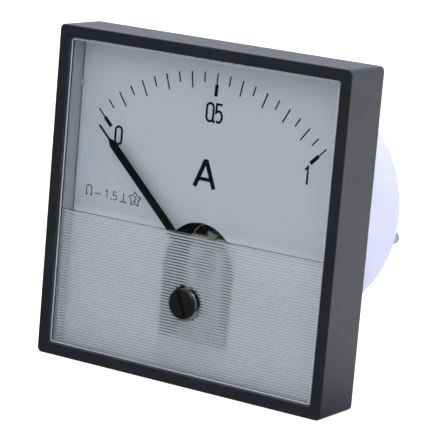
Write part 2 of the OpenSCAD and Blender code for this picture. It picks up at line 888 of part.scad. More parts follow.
module movement_screws() {
    end = carrier_front / 2 + slip;
    color("#c8cacc") at_pivot() both_sides(ring_middle_r) rotate([0, 0, 180])
        screw(-rear_bridge_back, -end, movement_screw_r, movement_screw_r);
}

// ---- terminals ----

module at_studs() {
    both_sides(stud_x) translate([0, 0, -stud_drop]) children();
}

module terminal_studs() {
    end = barrel_depth + stud_reach;
    chamfer = 0.3;
    color("#a9abae") at_studs() {
        hex(head_back - stud_head_t, head_back, nut_af);
        rod(head_back, nut_back, shank_r);
        rod(nut_back, end - chamfer, stud_r);
        rod(end - chamfer, end, stud_r, stud_r - chamfer);
    }
}

module terminal_washers() {
    color("#b4b6b8") at_studs() difference() {
        rod(barrel_depth, barrel_depth + washer_t, washer_r);
        rod(barrel_depth - cut, barrel_depth + washer_t + cut, shank_r + slip);
    }
}

module terminal_nuts() {
    color("#b0b2b5") at_studs() difference() {
        intersection() {
            hex(nut_front, nut_back, nut_af);
            union() {
                rod(nut_front, nut_front + nut_t / 2, nut_af * 0.54, nut_af * 0.6);
                rod(nut_front + nut_t / 2, nut_back, nut_af * 0.6, nut_af * 0.54);
            }
        }
        rod(nut_front - cut, nut_back + cut, shank_r);
    }
}

tag_reach = 4.6;

module solder_tags() {
    color("#b7b09a") for (s = [-1, 1]) translate([s * stud_x, 0, -stud_drop]) slab(head_back, tag_back) difference() {
        union() {
            circle(nut_af / 2);
            link([0, 0], [-s * tag_reach, 0], 2.4);
        }
        circle(shank_r + running);
    }
}

module shunt_strip() {
    notch_count = 3;
    color("#a98f6a") translate([0, 0, -stud_drop]) slab(tag_back, stud_seat) difference() {
        union() {
            square([stud_spacing, shunt_w], center = true);
            translate([-stud_x, 0]) circle(nut_af / 2);
            translate([stud_x, 0]) circle(nut_af / 2);
        }
        translate([-stud_x, 0]) circle(shank_r + running);
        translate([stud_x, 0]) circle(shank_r + running);
        for (i = [0 : notch_count - 1]) translate([(i - 1) * 4 - 0.4, 0]) square([0.8, shunt_w]);
    }
}

// a wire runs straight between its points, with round bends
module wire(points) {
    for (i = [0 : len(points) - 2]) {
        d = points[i + 1] - points[i];
        turn = [0, acos(d[2] / norm(d)), atan2(d[1], d[0])];
        translate(points[i]) rotate(turn) cylinder(h = norm(d), r = wire_r);
        if (i > 0) translate(points[i]) sphere(r = 1.06 * wire_r);
    }
}

module lead_wires() {
    joint_r = 0.8;
    joint_h = 0.7;
    tag_x = stud_x - tag_reach + 0.4;
    joint_y = head_back - joint_h / 2;
    side_x = rear_bridge_half - 1.2;
    low_z = pivot_z - 5.4;
    run_y = carrier_front - wire_r - running;
    color("#22232a") {
        // rear bridge to the right-hand tag
        translate([side_x, 0, pivot_z + 2]) rod(rear_bridge_back, rear_bridge_back + joint_h, joint_r);
        translate([tag_x, 0, -stud_drop]) rod(head_back - joint_h, head_back, joint_r);
        wire([[side_x, rear_bridge_back + joint_h / 2, pivot_z + 2], [tag_x, rear_bridge_back + 2, -stud_drop],
            [tag_x, joint_y, -stud_drop]]);
        // front bridge to the left-hand tag
        translate([-tag_x, 0, -stud_drop]) rod(head_back - joint_h, head_back, joint_r);
        wire([[-tag_x, joint_y, -stud_drop], [-tag_x, head_back - 3, low_z], [-tag_x, run_y, low_z],
            [-bridge_w / 2, run_y, low_z]]);
    }
}

bezel_frame();
window();
zero_screw();
rear_case();
fixing_bushes();
dial_plate();
scale_marks();
pointer();
balance_weights();
tail_weight();
pivots();
spring_collets();
coil_former();
coil_winding();
front_hairspring();
rear_hairspring();
front_jewel_screw();
rear_jewel_screw();
jewels();
locknuts();
zero_lever();
lever_washer();
front_bridge();
bridge_screws();
rear_bridge();
movement_carrier();
carrier_screws();
yoke_ring();
core_magnet();
core_supports();
yoke_spacers();
movement_screws();
terminal_studs();
terminal_nuts();
terminal_washers();
solder_tags();
shunt_strip();
lead_wires();
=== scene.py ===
import bmesh
import bpy
import math
import numpy as np
from mathutils import Matrix, Vector


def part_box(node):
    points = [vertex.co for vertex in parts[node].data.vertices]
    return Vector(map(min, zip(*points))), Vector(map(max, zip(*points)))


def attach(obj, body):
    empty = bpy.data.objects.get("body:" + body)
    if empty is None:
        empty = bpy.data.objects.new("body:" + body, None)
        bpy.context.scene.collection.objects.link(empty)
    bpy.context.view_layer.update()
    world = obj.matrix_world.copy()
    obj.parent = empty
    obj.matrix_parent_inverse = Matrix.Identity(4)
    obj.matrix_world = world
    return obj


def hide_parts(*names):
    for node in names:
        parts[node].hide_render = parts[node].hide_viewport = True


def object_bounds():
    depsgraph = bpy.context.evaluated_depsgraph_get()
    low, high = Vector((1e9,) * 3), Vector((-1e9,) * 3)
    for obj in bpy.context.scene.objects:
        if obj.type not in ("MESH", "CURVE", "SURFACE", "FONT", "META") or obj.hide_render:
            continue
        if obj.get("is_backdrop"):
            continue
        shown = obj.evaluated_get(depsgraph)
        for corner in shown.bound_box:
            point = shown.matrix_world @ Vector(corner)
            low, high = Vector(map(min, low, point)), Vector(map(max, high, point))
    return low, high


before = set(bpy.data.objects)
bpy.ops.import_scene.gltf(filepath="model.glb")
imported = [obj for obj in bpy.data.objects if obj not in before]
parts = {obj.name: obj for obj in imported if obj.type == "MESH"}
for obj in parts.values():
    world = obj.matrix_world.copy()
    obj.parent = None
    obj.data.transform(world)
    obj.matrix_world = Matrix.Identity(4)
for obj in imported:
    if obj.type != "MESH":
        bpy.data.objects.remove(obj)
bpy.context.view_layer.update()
mm = 0.001
print("frame loaded")


cameraSettings = {
    "azimuth": 32.106, "elevation": 10.803, "roll": 4.969,
    "distance": 0.51284, "slideRight": 0.00024, "slideUp": -0.00235, "lens": 195.9,
    "clipStart": 0.01, "clipEnd": 20.0,
}


def newObject(name, data):
    thing = bpy.data.objects.new(name, data)
    bpy.context.collection.objects.link(thing)
    return thing


def placeCamera(settings):
    # back points from the aim to the lens, level and upright span the picture before it is rolled
    azimuth, elevation, roll = (math.radians(settings[k]) for k in ("azimuth", "elevation", "roll"))
    back = Vector((math.sin(azimuth) * math.cos(elevation), -math.cos(azimuth) * math.cos(elevation),
                   math.sin(elevation)))
    level = (-back).cross(Vector((0, 0, 1))).normalized()
    upright = level.cross(-back)
    right = math.cos(roll) * level + math.sin(roll) * upright
    up = math.cos(roll) * upright - math.sin(roll) * level
    place = settings["distance"] * back + settings["slideRight"] * right + settings["slideUp"] * up
    data = bpy.data.cameras.new("meterCamera")
    data.lens = settings["lens"]
    data.clip_start, data.clip_end = settings["clipStart"], settings["clipEnd"]
    camera = newObject("meterCamera", data)
    turn = Matrix((right, up, back)).transposed().to_4x4()
    camera.matrix_world = Matrix.Translation(place) @ turn
    bpy.context.scene.camera = camera


placeCamera(cameraSettings)
print("camera placed")


def addNode(tree, kind, values=None, **attributes):
    node = tree.nodes.new(kind)
    for name, value in attributes.items():
        setattr(node, name, value)
    for socket, value in (values or {}).items():
        if isinstance(value, bpy.types.NodeSocket):
            tree.links.new(value, node.inputs[socket])
        else:
            node.inputs[socket].default_value = value
    return node


def colour(r, g, b):
    return (r, g, b, 1.0)


def placeAxes(tree):
    # the object's own coordinates, one socket for each axis
    return addNode(tree, "ShaderNodeSeparateXYZ",
                   {"Vector": addNode(tree, "ShaderNodeTexCoord").outputs["Object"]}).outputs


def mixColours(tree, share, first, second):
    # the first colour at share 0, the second at 1; sockets 6 and 7 take the colours
    return addNode(tree, "ShaderNodeMix", {0: share, 6: first, 7: second}, data_type="RGBA").outputs[2]


def principledOf(material):
    return next(node for node in material.node_tree.nodes if node.type == "BSDF_PRINCIPLED")


# the part of 0 to 1 that a noise covers
noiseRange, tarnishRange = (0.3, 0.7), (0.35, 0.65)
grainOutputs = [("Colour", "Color", None), ("Roughness", "Float", None), ("Height", "Float", None)]


def newGroup(name, inputs):
    # inputs and outputs are (name, socket kind, default)
    group = bpy.data.node_groups.new(name, "ShaderNodeTree")
    for way, sockets in (("INPUT", inputs), ("OUTPUT", grainOutputs)):
        for label, kind, default in sockets:
            socket = group.interface.new_socket(name=label, in_out=way, socket_type="NodeSocket" + kind)
            if default is not None:
                socket.default_value = default
    return group, group.nodes.new("NodeGroupInput"), group.nodes.new("NodeGroupOutput")


def closeGroup(group, given, result, cloud, cloudRange, fine):
    # the cloud mixes the two colours, the fine noise gives the roughness and the height
    spread = addNode(group, "ShaderNodeMapRange", {
        "Value": cloud.outputs["Fac"], "From Min": cloudRange[0], "From Max": cloudRange[1]})
    tint = mixColours(group, spread.outputs["Result"], given.outputs["Shade"], given.outputs["Colour"])
    rough = addNode(group, "ShaderNodeMapRange", {
        "Value": fine.outputs["Fac"], "From Min": noiseRange[0], "From Max": noiseRange[1],
        "To Min": given.outputs["Smooth"], "To Max": given.outputs["Rough"]})
    group.links.new(tint, result.inputs["Colour"])
    group.links.new(rough.outputs["Result"], result.inputs["Roughness"])
    group.links.new(fine.outputs["Fac"], result.inputs["Height"])
    return group


def makeMouldedGroup():
    # broad cloudiness for the colour, fine grain for the roughness and the height
    group, given, result = newGroup(
        "mouldedGrain",
        [("Colour", "Color", colour(0.5, 0.5, 0.5)), ("Shade", "Color", colour(0.4, 0.4, 0.4)),
         ("Grain", "Float", 3000.0), ("Cloud", "Float", 90.0), ("Smooth", "Float", 0.3),
         ("Rough", "Float", 0.5)])
    place = addNode(group, "ShaderNodeTexCoord").outputs["Object"]
    cloud = addNode(group, "ShaderNodeTexNoise", {"Vector": place, "Scale": given.outputs["Cloud"],
                                                  "Detail": 4.0, "Roughness": 0.6})
    grain = addNode(group, "ShaderNodeTexNoise", {"Vector": place, "Scale": given.outputs["Grain"],
                                                  "Detail": 3.0, "Roughness": 0.55})
    return closeGroup(group, given, result, cloud, noiseRange, grain)


def makeMetalGroup():
    # noise drawn out along one way gives the rolled or turned lines, a broad noise the tarnish
    group, given, result = newGroup(
        "metalGrain",
        [("Colour", "Color", colour(0.6, 0.6, 0.6)), ("Shade", "Color", colour(0.4, 0.4, 0.4)),
         ("Stretch", "Vector", (4000.0, 200.0, 4000.0)), ("Cloud", "Float", 150.0), ("Smooth", "Float", 0.2),
         ("Rough", "Float", 0.4)])
    place = addNode(group, "ShaderNodeTexCoord").outputs["Object"]
    drawn = addNode(group, "ShaderNodeVectorMath", {0: place, 1: given.outputs["Stretch"]},
                    operation="MULTIPLY")
    lines = addNode(group, "ShaderNodeTexNoise", {"Vector": drawn.outputs["Vector"], "Scale": 1.0,
                                                  "Detail": 2.0})
    cloud = addNode(group, "ShaderNodeTexNoise", {"Vector": place, "Scale": given.outputs["Cloud"],
                                                  "Detail": 5.0})
    return closeGroup(group, given, result, cloud, tarnishRange, lines)


mouldedGroup = makeMouldedGroup()
metalGroup = makeMetalGroup()


def makeFinish(name, group, groupValues, shader, bump=0.0):
    # one group for the pattern, one Principled shader for the finish
    material = bpy.data.materials.new(name)
    material.use_nodes = True
    tree = material.node_tree
    tree.nodes.clear()
    pattern = addNode(tree, "ShaderNodeGroup", node_tree=group)
    for socket, value in groupValues.items():
        pattern.inputs[socket].default_value = value
    principled = addNode(tree, "ShaderNodeBsdfPrincipled", shader)
    tree.links.new(pattern.outputs["Colour"], principled.inputs["Base Color"])
    tree.links.new(pattern.outputs["Roughness"], principled.inputs["Roughness"])
    if bump:
        relief = addNode(tree, "ShaderNodeBump", {"Strength": 1.0, "Distance": bump,
                                                  "Height": pattern.outputs["Height"]})
        tree.links.new(relief.outputs["Normal"], principled.inputs["Normal"])
    output = addNode(tree, "ShaderNodeOutputMaterial")
    tree.links.new(principled.outputs["BSDF"], output.inputs["Surface"])
    return material


def plastic(name, main, shade, smooth, rough, grain=2600.0, bump=4e-6, **shader):
    return makeFinish(name, mouldedGroup, {"Colour": colour(*main), "Shade": colour(*shade), "Grain": grain,
                                           "Smooth": smooth, "Rough": rough}, shader, bump)


def metal(name, main, shade, smooth, rough, stretch=(4000.0, 200.0, 4000.0), bump=2e-6, **shader):
    return makeFinish(name, metalGroup, {"Colour": colour(*main), "Shade": colour(*shade), "Stretch": stretch,
                                         "Smooth": smooth, "Rough": rough}, {"Metallic": 1.0, **shader}, bump)


frostSettings = {"below": -3.9, "behind": -10.9, "roughness": 0.24}


def makeWindowFinish(s):
    # clear and polished, but the ribbed inside face below the divider is slightly frosted
    material = plastic("windowClear", (0.985, 0.99, 1.0), (0.97, 0.98, 0.995), 0.0, 0.02, bump=0.0,
                       IOR=1.49, **{"Transmission Weight": 1.0})
    tree = material.node_tree
    place = placeAxes(tree)
    below = addNode(tree, "ShaderNodeMath", {0: place["Z"], 1: s["below"] * mm}, operation="LESS_THAN")
    behind = addNode(tree, "ShaderNodeMath", {0: place["Y"], 1: s["behind"] * mm}, operation="GREATER_THAN")
    frosted = addNode(tree, "ShaderNodeMath", {0: below.outputs["Value"], 1: behind.outputs["Value"]},
                      operation="MULTIPLY")
    roughness = principledOf(material).inputs["Roughness"]
    rough = addNode(tree, "ShaderNodeMath", {0: frosted.outputs["Value"], 1: s["roughness"],
                                             2: roughness.links[0].from_socket}, operation="MULTIPLY_ADD")
    tree.links.new(rough.outputs["Value"], roughness)
    return material


# painted light: the dial's colour turns paler below the divider, standing in for the light the window's ribs
# spread over it,
# and painted shade: the case's colour turns greyer inside the tray, in front of the panel, where the recess
# is in shade
dialPaintedLight = {"axis": "Z", "first": -3.0, "last": -5.0, "second": (0.95, 0.96, 0.99)}
casePaintedShade = {"axis": "Y", "first": 0.5, "last": -0.5, "second": (0.52, 0.535, 0.60)}


def paintLightAndShadeAlong(material, axis, first, last, second):
    # painted light and shade: the base colour turns into the second one between two places along an axis of
    # the object
    tree = material.node_tree
    share = addNode(tree, "ShaderNodeMapRange", {
        "Value": placeAxes(tree)[axis], "From Min": first * mm, "From Max": last * mm})
    base = principledOf(material).inputs["Base Color"]
    mixed = mixColours(tree, share.outputs["Result"], base.links[0].from_socket, colour(*second))
    tree.links.new(mixed, base)
    return material


finishes = {
    "frameBlack": plastic("frameBlack", (0.0175, 0.0178, 0.027), (0.0125, 0.0127, 0.020), 0.32, 0.44,
                          **{"Specular IOR Level": 0.7}),
    "screwBlack": plastic("screwBlack", (0.012, 0.012, 0.014), (0.007, 0.007, 0.009), 0.28, 0.42),
    "windowClear": makeWindowFinish(frostSettings),
    # painted shade: the case's colour turns greyer inside the tray, where the recess is in shade
    "caseWhite": paintLightAndShadeAlong(plastic("caseWhite", (0.69, 0.69, 0.92), (0.66, 0.66, 0.90), 0.38, 0.5,
                                    **{"Subsurface Weight": 0.35, "Subsurface Radius": (0.002, 0.002, 0.003),
                                       "Subsurface Scale": 1.0}), **casePaintedShade),
    # painted light: the dial's colour is paler below the divider, for the light the ribs spread over it
    "dialPaint": paintLightAndShadeAlong(plastic("dialPaint", (0.725, 0.762, 0.828), (0.712, 0.748, 0.815), 0.5, 0.6,
                                    grain=4000.0), **dialPaintedLight),
    "coverPaint": plastic("coverPaint", (0.80, 0.83, 0.91), (0.785, 0.815, 0.895), 0.5, 0.6, grain=4000.0),
    # painted shade for the gap round the dial
    "gapShadeDark": plastic("gapShadeDark", (0.05, 0.052, 0.06), (0.035, 0.036, 0.042), 0.5, 0.6),
    "inkBlack": plastic("inkBlack", (0.008, 0.008, 0.013), (0.005, 0.005, 0.009), 0.5, 0.65,
                        **{"Specular IOR Level": 0.05}),
    "pointerBlack": plastic("pointerBlack", (0.006, 0.006, 0.009), (0.004, 0.004, 0.006), 0.5, 0.65,
                            **{"Specular IOR Level": 0.05}),
    "carrierBlack": plastic("carrierBlack", (0.012, 0.011, 0.011), (0.008, 0.007, 0.007), 0.5, 0.65,
                            **{"Specular IOR Level": 0.25}),
    "brassTurned": metal("brassTurned", (0.66, 0.47, 0.17), (0.5, 0.34, 0.12), 0.2, 0.36),
    "springBronze": metal("springBronze", (0.86, 0.66, 0.33), (0.74, 0.52, 0.22), 0.16, 0.3,
                          stretch=(900.0, 9000.0, 900.0)),
    "tinnedSheet": metal("tinnedSheet", (0.72, 0.71, 0.68), (0.56, 0.55, 0.52), 0.18, 0.34),
    "bridgeMetal": metal("bridgeMetal", (0.56, 0.54, 0.50), (0.46, 0.44, 0.41), 0.28, 0.42,
                         stretch=(5000.0, 5000.0, 250.0)),
    "bridgeSatin": metal("bridgeSatin", (0.9, 0.85, 0.75), (0.66, 0.63, 0.57), 0.3, 0.45,
                         stretch=(5000.0, 5000.0, 250.0), Metallic=0.25),
    "zincSteel": metal("zincSteel", (0.62, 0.62, 0.6), (0.48, 0.48, 0.47), 0.22, 0.4),
    "pivotSteel": metal("pivotSteel", (0.6, 0.61, 0.63), (0.5, 0.51, 0.53), 0.1, 0.2),
    "formerAluminium": metal("formerAluminium", (0.74, 0.75, 0.77), (0.6, 0.61, 0.63), 0.25, 0.42),
    "windingCopper": metal("windingCopper", (0.55, 0.2, 0.08), (0.36, 0.12, 0.05), 0.24, 0.4,
                           stretch=(300.0, 300.0, 9000.0), bump=3e-5),
    "yokeIron": metal("yokeIron", (0.44, 0.44, 0.46), (0.32, 0.32, 0.34), 0.3, 0.46),
    "magnetCast": metal("magnetCast", (0.2, 0.2, 0.21), (0.12, 0.12, 0.13), 0.42, 0.62),
    "shuntAlloy": metal("shuntAlloy", (0.42, 0.27, 0.17), (0.32, 0.2, 0.12), 0.26, 0.42),
    "studNickel": metal("studNickel", (0.5, 0.51, 0.53), (0.38, 0.39, 0.41), 0.2, 0.38,
                        stretch=(300.0, 6000.0, 300.0)),
    "jewelRuby": plastic("jewelRuby", (0.42, 0.01, 0.04), (0.3, 0.008, 0.03), 0.05, 0.12),
    "wireRed": plastic("wireRed", (0.07, 0.012, 0.012), (0.05, 0.008, 0.008), 0.4, 0.55),
    "springGold": plastic("springGold", (0.95, 0.86, 0.64), (0.85, 0.75, 0.52), 0.25, 0.4),
    "leverSilver": metal("leverSilver", (0.9, 0.9, 0.9), (0.3, 0.3, 0.31), 0.16, 0.3, Metallic=0.1),
    # painted highlight on the ribs' crests
    "crestHighlightWhite": plastic("crestHighlightWhite", (0.92, 0.93, 0.98), (0.88, 0.89, 0.95), 0.3, 0.4, Alpha=0.62),
    # painted glint along the window's edge
    "edgeGlintPale": plastic("edgeGlintPale", (0.62, 0.65, 0.74), (0.55, 0.58, 0.67), 0.2, 0.3),
    "nickelPale": metal("nickelPale", (0.66, 0.63, 0.57), (0.5, 0.48, 0.43), 0.2, 0.36),
    # painted shade for the window's groove
    "grooveShadeGrey": plastic("grooveShadeGrey", (0.06, 0.062, 0.07), (0.045, 0.046, 0.052), 0.45, 0.6),
}

finishOf = {
    "bezel_frame": "frameBlack", "window": "windowClear", "zero_screw": "screwBlack",
    "rear_case": "caseWhite", "fixing_bushes": "brassTurned", "dial_plate": "dialPaint",
    "scale_marks": "inkBlack", "pointer": "pointerBlack", "balance_weights": "brassTurned",
    "tail_weight": "brassTurned",
    "pivots": "pivotSteel", "spring_collets": "brassTurned", "coil_former": "formerAluminium",
    "coil_winding": "windingCopper", "front_hairspring": "springGold", "rear_hairspring": "springBronze",
    "front_jewel_screw": "nickelPale", "rear_jewel_screw": "brassTurned", "jewels": "jewelRuby",
    "locknuts": "nickelPale", "zero_lever": "leverSilver", "lever_washer": "nickelPale",
    "front_bridge": "bridgeMetal", "bridge_screws": "zincSteel", "rear_bridge": "bridgeMetal",
    "movement_carrier": "carrierBlack", "carrier_screws": "zincSteel", "yoke_ring": "yokeIron",
    "core_magnet": "magnetCast", "core_supports": "bridgeMetal", "yoke_spacers": "brassTurned",
    "movement_screws": "zincSteel", "terminal_studs": "studNickel", "terminal_nuts": "studNickel",
    "terminal_washers": "studNickel", "solder_tags": "tinnedSheet", "shunt_strip": "shuntAlloy",
    "lead_wires": "wireRed",
}


def finishPart(thing, name):
    thing.data.materials.clear()
    thing.data.materials.append(finishes[name])


for partName, finishName in finishOf.items():
    for slot in parts[partName].material_slots:
        slot.material = finishes[finishName]
    if not parts[partName].material_slots:
        finishPart(parts[partName], finishName)
print("finishes made")


creaseAngle = 30.0


def addPiece(name, mesh, finish, body, crease=creaseAngle):
    # smooth but for edges sharper than the crease, and riding on the body if there is one
    mesh.shade_smooth()
    mesh.set_sharp_from_angle(angle=math.radians(crease))
    piece = newObject(name, mesh)
    finishPart(piece, finish)
    if body:
        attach(piece, body)
    return piece


def makePiece(name, points, faces, finish, body, crease=creaseAngle):
    # points are in millimetres
    mesh = bpy.data.meshes.new(name)
    mesh.from_pydata((np.asarray(points, float) * mm).tolist(), [], [list(map(int, f)) for f in faces])
    mesh.validate()
    mesh.update()
    return addPiece(name, mesh, finish, body, crease)


def gridFaces(rows, columns, wrapRows=False, wrapColumns=False):
    # quads of a grid whose point (i, j) has number i * columns + j
    i, j = np.meshgrid(np.arange(rows if wrapRows else rows - 1),
                       np.arange(columns if wrapColumns else columns - 1), indexing="ij")
    nextI, nextJ = (i + 1) % rows, (j + 1) % columns
    return np.stack([i * columns + j, i * columns + nextJ, nextI * columns + nextJ, nextI * columns + j],
                    axis=-1).reshape(-1, 4)


def squareRing(half, radius, arcSteps=8, shoulder=0.12):
    # a rounded square for each half width and corner radius: corner centre + radius (cos a, sin a),
    # with one more point a little way along each straight side
    angles = np.linspace(0.0, np.pi / 2, arcSteps + 1)
    angles = np.concatenate([[0.0], angles, [np.pi / 2]])
    slide = np.zeros(arcSteps + 3)
    slide[0], slide[-1] = -shoulder, shoulder
    turns = np.arange(4)[:, None] * np.pi / 2 + angles[None, :]
    corners = np.arange(4) * np.pi / 2 + np.pi / 4
    half, radius = np.asarray(half)[:, None, None], np.asarray(radius)[:, None, None]
    centreX = (half - radius) * np.sign(np.cos(corners))[None, :, None]
    centreZ = (half - radius) * np.sign(np.sin(corners))[None, :, None]
    x = centreX + radius * np.cos(turns) - slide * np.sin(turns)
    z = centreZ + radius * np.sin(turns) + slide * np.cos(turns)
    return x.reshape(len(half), -1), z.reshape(len(half), -1)


def ringPoints(x, depths, z):
    # one depth for all the points of a ring
    return np.stack([x, np.broadcast_to(depths[:, None], x.shape), z], axis=-1).reshape(-1, 3)


frameSettings = {
    "cornerRadius": 1.1, "edgeRound": 0.3, "openingRadius": 0.5, "lipRound": 0.18, "lipThickness": 1.6,
    "skirtWall": 1.35, "rimWidth": 2.55, "rearRound": 0.15, "arcSteps": 7, "rearSteps": 3, "band": 0.08,
    "rimMargin": 0.3, "skirtRadius": 0.3, "leastRadius": 0.05, "tiny": 1e-6,
}


def quarterRound(centre, radius, start, steps):
    # centre + radius (cos a, sin a) for a quarter turn from start degrees
    a = np.radians(np.linspace(start, start + 90.0, steps + 1))
    return np.stack([centre[0] + radius * np.cos(a), centre[1] + radius * np.sin(a)], axis=1)


def makeBezel(s):
    # profile of (inset from the outside, depth) points, carried round the square
    low, high = (np.array(corner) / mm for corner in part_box("bezel_frame"))
    half, front, back = high[0], low[1], high[1]
    lip = front + s["lipThickness"]
    steps, band = s["arcSteps"], s["band"]
    outer = quarterRound((s["edgeRound"], front + s["edgeRound"]), s["edgeRound"], 180.0, steps)
    inner = quarterRound((s["rimWidth"] - s["lipRound"], front + s["lipRound"]), s["lipRound"], -90.0, steps)
    rearOut = quarterRound((s["rearRound"], back - s["rearRound"]), s["rearRound"], 90.0, s["rearSteps"])
    rearIn = quarterRound((s["skirtWall"] - s["rearRound"], back - s["rearRound"]), s["rearRound"], 0.0,
                          s["rearSteps"])
    profile = np.concatenate([
        [[0.0, outer[0, 1] + band]], outer, [[outer[-1, 0] + band, front]],
        [[inner[0, 0] - band, front]], inner, [[s["rimWidth"], inner[-1, 1] + band]],
        [[s["rimWidth"], lip], [s["skirtWall"], lip], [s["skirtWall"], lip + band]],
        [[s["skirtWall"], rearIn[0, 1] - band]], rearIn, [[rearIn[-1, 0] - band, back]],
        [[rearOut[0, 0] + band, back]], rearOut, [[0.0, rearOut[-1, 1] - band]]])
    inset, depth = profile[:, 0], profile[:, 1]
    # outside corners shrink with the inset, the opening and the skirt's inside have their own
    radius = np.maximum(s["cornerRadius"] - inset, 0.0)
    atOpening = inset > s["skirtWall"] + s["rimMargin"]
    atSkirt = (inset >= s["skirtWall"] - s["tiny"]) & (depth >= lip) & ~atOpening
    radius = np.where(atOpening, s["openingRadius"] + (s["rimWidth"] - inset), radius)
    radius = np.where(atSkirt, s["skirtRadius"], radius)
    x, z = squareRing(half - inset, np.maximum(radius, s["leastRadius"]))
    points = ringPoints(x, depth, z)
    faces = gridFaces(len(profile), x.shape[1], wrapRows=True, wrapColumns=True)
    piece = makePiece("frontFrame", points, faces, "frameBlack", "case")
    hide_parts("bezel_frame")


makeBezel(frameSettings)
print("front frame made")


windowSettings = {
    "halfWidth": 33.35, "flangeHalf": 34.5, "thickness": 1.6, "step": 0.5, "chamfer": 0.2,
    "grooveDrop": 3.7, "grooveWidth": 0.26, "grooveDepth": 0.13,
    "ribTop": -4.1, "ribEnd": -33.3, "ribPitch": 0.633, "ribHeight": 0.1, "ribSteps": 6, "ribInset": 0.05,
    "headRadius": 3.3, "seatDepth": 0.9, "neckRadius": 2.5, "neckPast": 3.0,
    "bossRadius": 3.75, "bossHeight": 1.1, "bossRoot": 0.5, "around": 96,
    "cutPast": 1.0, "cutSide": 5.0, "cutHalf": 40.0,
}

# a block of eight corners: four in front, then the same four behind
blockFaces = [[0, 1, 2, 3], [7, 6, 5, 4]] + [[k, k + 4, (k + 1) % 4 + 4, (k + 1) % 4] for k in range(4)]


def prism(outline, axis, low, high):
    # the outline's two coordinates go to the two axes that are left, the third runs from low to high
    outline = np.asarray(outline, float)
    count = len(outline)
    ends = [np.insert(outline, axis, value, axis=1) for value in (low, high)]
    sides = [[k, (k + 1) % count, (k + 1) % count + count, k + count] for k in range(count)]
    faces = [list(range(count))[::-1], list(range(count, 2 * count))] + sides
    mesh = bpy.data.meshes.new("prism")
    mesh.from_pydata((np.concatenate(ends) * mm).tolist(), [], faces)
    work = bmesh.new()
    work.from_mesh(mesh)
    bmesh.ops.recalc_face_normals(work, faces=work.faces)
    work.to_mesh(mesh)
    work.free()
    return newObject("prism", mesh)


def disc(centre, radius, count):
    a = 2 * np.pi * np.arange(count) / count
    return np.stack([centre[0] + radius * np.cos(a), centre[1] + radius * np.sin(a)], axis=1)


def box(x, z):
    return [[x[0], z[0]], [x[1], z[0]], [x[1], z[1]], [x[0], z[1]]]


def combine(start, steps, name, finish, body):
    # steps are (operation, tool); the tools are gone afterwards
    for operation, tool in steps:
        change = start.modifiers.new("shape", "BOOLEAN")
        change.operation, change.object, change.solver = operation, tool, "EXACT"
    bpy.context.view_layer.update()
    mesh = bpy.data.meshes.new_from_object(start.evaluated_get(bpy.context.evaluated_depsgraph_get()))
    for thing in [start] + [tool for operation, tool in steps]:
        bpy.data.objects.remove(thing, do_unlink=True)
    mesh.name = name
    return addPiece(name, mesh, finish, body)


def copyOf(node):
    return newObject("copy", parts[node].data.copy())


def windowPlanes(s):
    # the front face, the inside face and the middle of the zero screw's hole
    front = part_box("window")[0][1] / mm
    screwLow, screwHigh = (np.array(corner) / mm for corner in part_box("zero_screw"))
    return front, front + s["thickness"], (0.0, (screwLow[2] + screwHigh[2]) / 2)


def ribCount(s):
    return int((s["ribTop"] - s["ribEnd"]) / s["ribPitch"])


def makeWindow(s):
    # depth over height, ribs are half sine waves on the inside; carried across the full width, then cut
    front, inside, centre = windowPlanes(s)
    half, flange, step, bevel = s["halfWidth"], s["flangeHalf"], s["step"], s["chamfer"]
    past, side, reach = s["cutPast"], s["cutSide"], s["cutHalf"]
    grooveEdge = s["grooveWidth"] / 2
    share = np.arange(ribCount(s) * s["ribSteps"] + 1) / s["ribSteps"]
    ribs = np.stack([inside + s["ribHeight"] * np.abs(np.sin(np.pi * share)),
                     s["ribTop"] - share * s["ribPitch"]], axis=1)
    outline = np.concatenate([
        [[front + step, flange], [front + step, half], [front + bevel, half], [front, half - bevel],
         [front, -s["grooveDrop"] + grooveEdge], [front + s["grooveDepth"], -s["grooveDrop"]],
         [front, -s["grooveDrop"] - grooveEdge], [front, bevel - half], [front + bevel, -half],
         [front + step, -half], [front + step, -flange], [inside, -flange]], ribs[::-1], [[inside, flange]]])
    plate = prism(outline, 0, -flange, flange)
    # both sides lose the step with its chamfer, and the ribs' ends
    stepCut = [[half - bevel - past, front - past], [half, front + bevel], [half, front + step],
               [half + side, front + step], [half + side, front - past]]
    ribCut = box((half - s["ribInset"], half + side), (inside, inside + past))
    steps = [("DIFFERENCE", prism(np.array(cut) * [sign, 1], 2, -reach, reach))
             for sign in (-1, 1) for cut in (stepCut, ribCut)]
    for operation, radius, start, end in (
            ("UNION", s["bossRadius"], inside - s["bossRoot"], inside + s["bossHeight"]),
            ("DIFFERENCE", s["headRadius"], front - past, front + s["seatDepth"]),
            ("DIFFERENCE", s["neckRadius"], front - past, inside + s["neckPast"])):
        steps.append((operation, prism(disc(centre, radius, s["around"]), 1, start, end)))
    piece = combine(plate, steps, "frontWindow", "windowClear", "case")
    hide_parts("window")


shadeSettings = {"height": 0.15, "widthShare": 0.995, "sunk": 0.02, "thickness": 0.03}


def makeGrooveShade(s, window):
    # painted shade: a dark strip in the groove that stands in for the groove's dark line between the clear
    # and the ribbed field
    front = windowPlanes(window)[0]
    half, middle, rise = window["halfWidth"] * s["widthShare"], -window["grooveDrop"], s["height"] / 2
    face = np.array([[x, front + s["sunk"], z] for x, z in (
        (-half, middle - rise), (half, middle - rise), (half, middle + rise), (-half, middle + rise))])
    points = np.concatenate([face, face + [0.0, s["thickness"], 0.0]])
    shade = makePiece("grooveShade", points, blockFaces, "grooveShadeGrey", "case")


edgeGlintSettings = {
    "width": 0.25, "height": 0.1, "left": -33.42, "right": 32.72, "low": -33.42, "top": 33.12,
    "across": (0.0, 0.0, 0.3, 0.7, 1.0), "rise": (-1.0, 0.6, 1.0, 1.0, 0.0),
}


